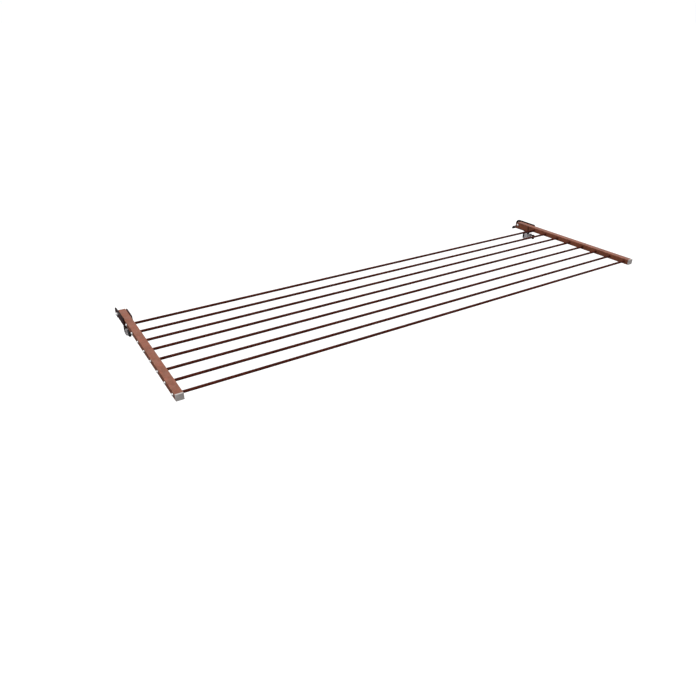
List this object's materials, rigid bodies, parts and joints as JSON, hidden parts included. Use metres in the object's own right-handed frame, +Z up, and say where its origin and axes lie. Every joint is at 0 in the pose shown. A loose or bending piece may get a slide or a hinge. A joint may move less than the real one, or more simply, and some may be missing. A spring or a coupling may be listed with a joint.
{
  "type": "balcony clothes drying rack",
  "caption": "Fold-up clothes drying rack: parallel round rods between two rectangular arms, which pivot in brackets that clamp over a balcony handrail.",
  "frame": {"origin": "on the handrail's top face, halfway between the two brackets and 10 mm in front of the handrail's middle line", "axes": "+X along the rods, -Y outward from the balcony along the lowered arms, +Z up"},
  "size_m": [2.011, 0.6752, 0.074],
  "materials": {
    "arm_brown": "satin copper-brown powder coat",
    "rod_brown": "satin dark red-brown powder coat",
    "bracket_brown": "satin dark brown powder coat",
    "cap_grey": "matte grey moulded plastic",
    "cap_brown": "matte dark brown moulded plastic",
    "screw_silver": "bright zinc-plated steel",
    "clamp_grey": "satin light grey metal",
    "jaw_grey": "satin dark grey coated casting",
    "dark_steel": "black oxide steel with a slight gloss",
    "rubber": "matte black rubber",
    "knob_black": "matte black moulded plastic",
    "nylon": "natural nylon"
  },
  "bodies": {
    "brackets": {"left_bracket": "bracket_brown", "left_foot_pad": "rubber", "left_lip_sleeve": "rubber", "left_pivot_bolt": "screw_silver", "left_pivot_nut": "screw_silver", "left_arm_rest": "rubber", "left_hanger": "clamp_grey", "left_hanger_screw": "screw_silver", "right_bracket": "bracket_brown", "right_foot_pad": "rubber", "right_lip_sleeve": "rubber", "right_pivot_bolt": "screw_silver", "right_pivot_nut": "screw_silver", "right_arm_rest": "rubber", "right_hanger": "clamp_grey", "right_hanger_screw": "screw_silver"},
    "rack": {"rod_1": "rod_brown", "rod_2": "rod_brown", "rod_3": "rod_brown", "rod_4": "rod_brown", "rod_5": "rod_brown", "rod_6": "rod_brown", "rod_7": "rod_brown", "rod_8": "rod_brown", "left_arm": "arm_brown", "left_front_cap": "cap_grey", "left_rear_cap": "cap_brown", "left_pivot_bush": "nylon", "left_rod_screw_1": "screw_silver", "left_rod_screw_2": "screw_silver", "left_rod_screw_3": "screw_silver", "left_rod_screw_4": "screw_silver", "left_rod_screw_5": "screw_silver", "left_rod_screw_6": "screw_silver", "left_rod_screw_7": "screw_silver", "left_rod_screw_8": "screw_silver", "right_arm": "arm_brown", "right_front_cap": "cap_grey", "right_rear_cap": "cap_brown", "right_pivot_bush": "nylon", "right_rod_screw_1": "screw_silver", "right_rod_screw_2": "screw_silver", "right_rod_screw_3": "screw_silver", "right_rod_screw_4": "screw_silver", "right_rod_screw_5": "screw_silver", "right_rod_screw_6": "screw_silver", "right_rod_screw_7": "screw_silver", "right_rod_screw_8": "screw_silver"},
    "left_jaw": {"left_jaw": "jaw_grey", "left_jaw_facing": "rubber"},
    "left_upper_screw": {"left_upper_clamp_screw": "dark_steel", "left_upper_clamp_knob": "knob_black"},
    "left_lower_screw": {"left_lower_clamp_screw": "dark_steel", "left_lower_clamp_knob": "knob_black"},
    "right_jaw": {"right_jaw": "jaw_grey", "right_jaw_facing": "rubber"},
    "right_upper_screw": {"right_upper_clamp_screw": "dark_steel", "right_upper_clamp_knob": "knob_black"},
    "right_lower_screw": {"right_lower_clamp_screw": "dark_steel", "right_lower_clamp_knob": "knob_black"}
  },
  "joints": [
    {"name": "rack_fold", "type": "hinge", "parent": "brackets", "child": "rack", "pos_m": [0, 0.01, 0.022], "axis": [-1, 0, 0], "range_deg": [0, 90]},
    {"name": "left_jaw_slide", "type": "slide", "parent": "brackets", "child": "left_jaw", "axis": [0, -1, 0], "range_m": [0, 0.008]},
    {"name": "left_upper_screw_turn", "type": "hinge", "parent": "left_jaw", "child": "left_upper_screw", "pos_m": [-0.9865, -0.07, -0.014], "axis": [0, -1, 0], "range_deg": [0, 2881]},
    {"name": "left_lower_screw_turn", "type": "hinge", "parent": "left_jaw", "child": "left_lower_screw", "pos_m": [-0.9865, -0.07, -0.026], "axis": [0, -1, 0], "range_deg": [0, 2881]},
    {"name": "right_jaw_slide", "type": "slide", "parent": "brackets", "child": "right_jaw", "axis": [0, -1, 0], "range_m": [0, 0.008]},
    {"name": "right_upper_screw_turn", "type": "hinge", "parent": "right_jaw", "child": "right_upper_screw", "pos_m": [0.9865, -0.07, -0.014], "axis": [0, -1, 0], "range_deg": [0, 2881]},
    {"name": "right_lower_screw_turn", "type": "hinge", "parent": "right_jaw", "child": "right_lower_screw", "pos_m": [0.9865, -0.07, -0.026], "axis": [0, -1, 0], "range_deg": [0, 2881]}
  ],
  "couplings": [
    {"joint": "left_upper_screw_turn", "follows": "left_jaw_slide", "rad_per_m": 6283.2},
    {"joint": "left_lower_screw_turn", "follows": "left_jaw_slide", "rad_per_m": 6283.2},
    {"joint": "right_upper_screw_turn", "follows": "right_jaw_slide", "rad_per_m": 6283.2},
    {"joint": "right_lower_screw_turn", "follows": "right_jaw_slide", "rad_per_m": 6283.2}
  ]
}
